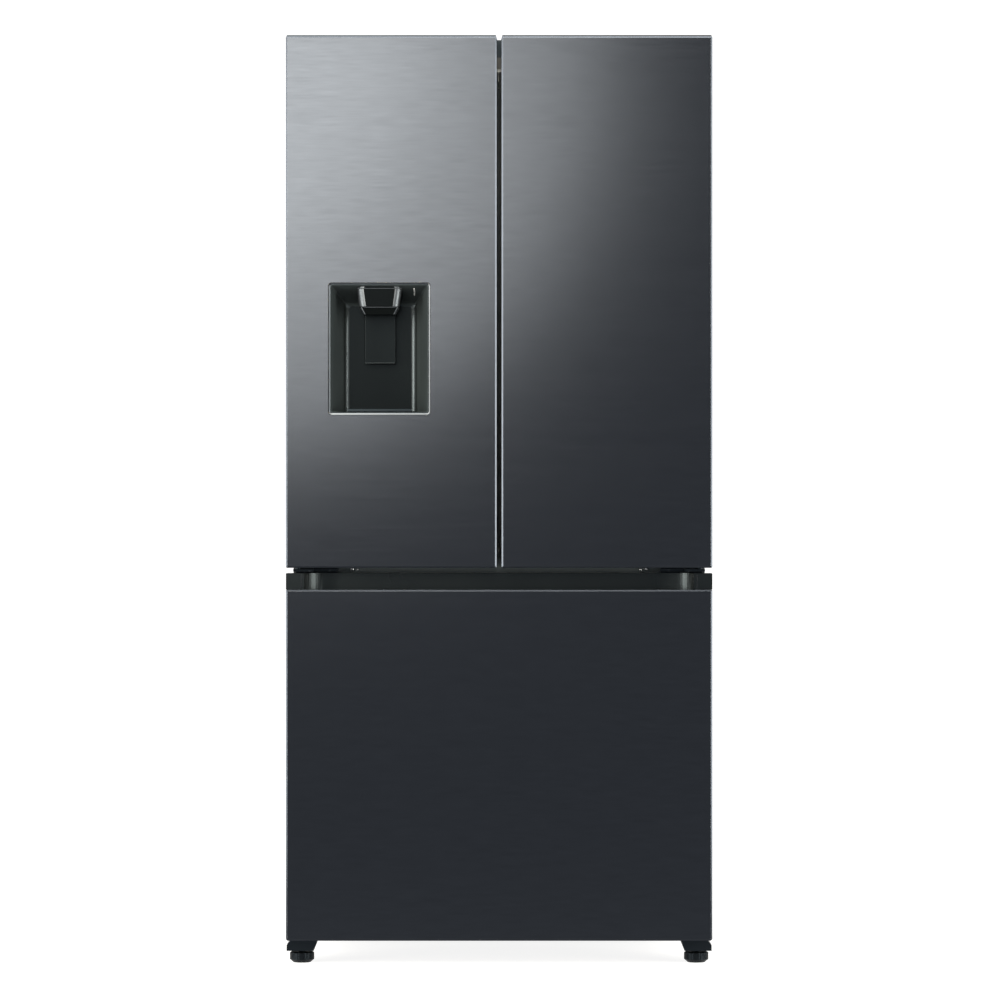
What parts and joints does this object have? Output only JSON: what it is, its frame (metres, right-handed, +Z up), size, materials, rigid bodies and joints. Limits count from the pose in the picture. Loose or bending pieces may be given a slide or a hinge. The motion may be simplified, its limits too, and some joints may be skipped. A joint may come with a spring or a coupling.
{
  "type": "french door refrigerator",
  "caption": "Tall refrigerator with side-hung upper doors that meet in the middle, a water dispenser in the left one, and a pull-out freezer drawer below.",
  "frame": {"origin": "on the floor, under the middle of the object's box", "axes": "+Z up, -Y towards the front, +X towards the viewer's right"},
  "size_m": [0.817, 0.715, 1.779],
  "materials": {
    "black_steel": "dark tinted stainless steel with fine horizontal brushing",
    "dark_trim": "dark grey moulded plastic",
    "gloss_black": "gloss black plastic",
    "chrome_trim": "polished",
    "case_paint": "satin grey paint",
    "galvanised": "galvanised sheet",
    "hinge_steel": "black painted steel",
    "liner_white": "white vacuum-formed plastic",
    "foam": "rigid insulation foam",
    "gasket_rubber": "soft grey rubber",
    "clear_plastic": "clear moulded plastic",
    "shelf_glass": "tempered glass",
    "lamp_lens": "frosted lens",
    "compressor_black": "black enamel",
    "coil_steel": "black painted steel"
  },
  "bodies": {
    "cabinet": {"cabinet_shell": "case_paint", "cabinet_foam": "foam", "back_panel": "galvanised", "fridge_liner": "liner_white", "freezer_liner": "liner_white", "middle_rail": "dark_trim", "base_frame": "hinge_steel", "top_cover": "dark_trim", "hinge_top_left": "hinge_steel", "hinge_middle_left": "hinge_steel", "runner_outer_left": "galvanised", "hinge_top_right": "hinge_steel", "hinge_middle_right": "hinge_steel", "runner_outer_right": "galvanised", "machine_cover": "galvanised", "power_inlet": "gloss_black", "compressor": "compressor_black", "condenser": "coil_steel", "evaporator": "galvanised", "air_duct_cover": "liner_white", "interior_lamp": "lamp_lens", "shelf_upper": "shelf_glass", "shelf_middle": "shelf_glass", "crisper_cover": "shelf_glass"},
    "condenser_fan": {"condenser_fan": "dark_trim"},
    "crisper_left": {"crisper_left": "clear_plastic"},
    "crisper_right": {"crisper_right": "clear_plastic"},
    "foot_left": {"foot_left": "dark_trim"},
    "foot_right": {"foot_right": "dark_trim"},
    "rear_roller_left": {"rear_roller_left": "dark_trim"},
    "rear_roller_right": {"rear_roller_right": "dark_trim"},
    "left_door": {"left_door_skin": "black_steel", "left_door_frame": "dark_trim", "left_door_foam": "foam", "left_door_liner": "liner_white", "left_door_gasket": "gasket_rubber", "left_door_bin": "clear_plastic", "dispenser_frame": "chrome_trim", "dispenser_recess": "gloss_black", "dispenser_nozzle": "gloss_black", "dispenser_tray": "gloss_black", "water_tank": "clear_plastic"},
    "dispenser_lever": {"dispenser_lever": "gloss_black"},
    "flip_mullion": {"flip_mullion": "dark_trim"},
    "right_door": {"right_door_skin": "black_steel", "right_door_frame": "dark_trim", "right_door_foam": "foam", "right_door_liner": "liner_white", "right_door_gasket": "gasket_rubber", "right_door_bin_lower": "clear_plastic", "right_door_bin_upper": "clear_plastic"},
    "freezer_drawer": {"drawer_skin": "black_steel", "drawer_frame": "dark_trim", "drawer_foam": "foam", "drawer_liner": "liner_white", "drawer_gasket": "gasket_rubber", "runner_inner_left": "galvanised", "runner_inner_right": "galvanised", "freezer_bin": "clear_plastic"},
    "freezer_tray": {"freezer_tray": "clear_plastic"}
  },
  "joints": [
    {"name": "left_door_hinge", "type": "hinge", "parent": "cabinet", "child": "left_door", "pos_m": [-0.3865, -0.3025, 1.265], "axis": [0, 0, -1], "range_deg": [0, 120]},
    {"name": "right_door_hinge", "type": "hinge", "parent": "cabinet", "child": "right_door", "pos_m": [0.3865, -0.3025, 1.265], "axis": [0, 0, 1], "range_deg": [0, 120]},
    {"name": "flip_mullion_hinge", "type": "hinge", "parent": "left_door", "child": "flip_mullion", "pos_m": [-0.051, -0.2545, 1.245], "axis": [0, 0, 1], "range_deg": [0, 90]},
    {"name": "dispenser_lever_hinge", "type": "hinge", "parent": "left_door", "child": "dispenser_lever", "pos_m": [-0.229, -0.281, 1.254], "axis": [1, 0, 0], "range_deg": [0, 10], "stiffness_Nm_per_rad": 0.6},
    {"name": "freezer_drawer_slide", "type": "slide", "parent": "cabinet", "child": "freezer_drawer", "axis": [0, -1, 0], "range_m": [0, 0.42]},
    {"name": "freezer_tray_slide", "type": "slide", "parent": "freezer_drawer", "child": "freezer_tray", "axis": [0, 1, 0], "range_m": [0, 0.11]},
    {"name": "crisper_left_slide", "type": "slide", "parent": "cabinet", "child": "crisper_left", "axis": [0, -1, 0], "range_m": [0, 0.05]},
    {"name": "crisper_right_slide", "type": "slide", "parent": "cabinet", "child": "crisper_right", "axis": [0, -1, 0], "range_m": [0, 0.05]},
    {"name": "foot_left_thread", "type": "hinge", "parent": "cabinet", "child": "foot_left", "pos_m": [-0.3795, -0.29, 0.03], "axis": [0, 0, 1], "continuous": true},
    {"name": "foot_right_thread", "type": "hinge", "parent": "cabinet", "child": "foot_right", "pos_m": [0.3795, -0.29, 0.03], "axis": [0, 0, 1], "continuous": true},
    {"name": "rear_roller_left_axle", "type": "hinge", "parent": "cabinet", "child": "rear_roller_left", "pos_m": [-0.36, 0.3, 0.022], "axis": [1, 0, 0], "continuous": true},
    {"name": "rear_roller_right_axle", "type": "hinge", "parent": "cabinet", "child": "rear_roller_right", "pos_m": [0.36, 0.3, 0.022], "axis": [1, 0, 0], "continuous": true},
    {"name": "condenser_fan_shaft", "type": "hinge", "parent": "cabinet", "child": "condenser_fan", "pos_m": [0.016, 0.235, 0.159], "axis": [1, 0, 0], "continuous": true}
  ],
  "couplings": [
    {"joint": "flip_mullion_hinge", "follows": "left_door_hinge", "ratio": 0.75}
  ]
}
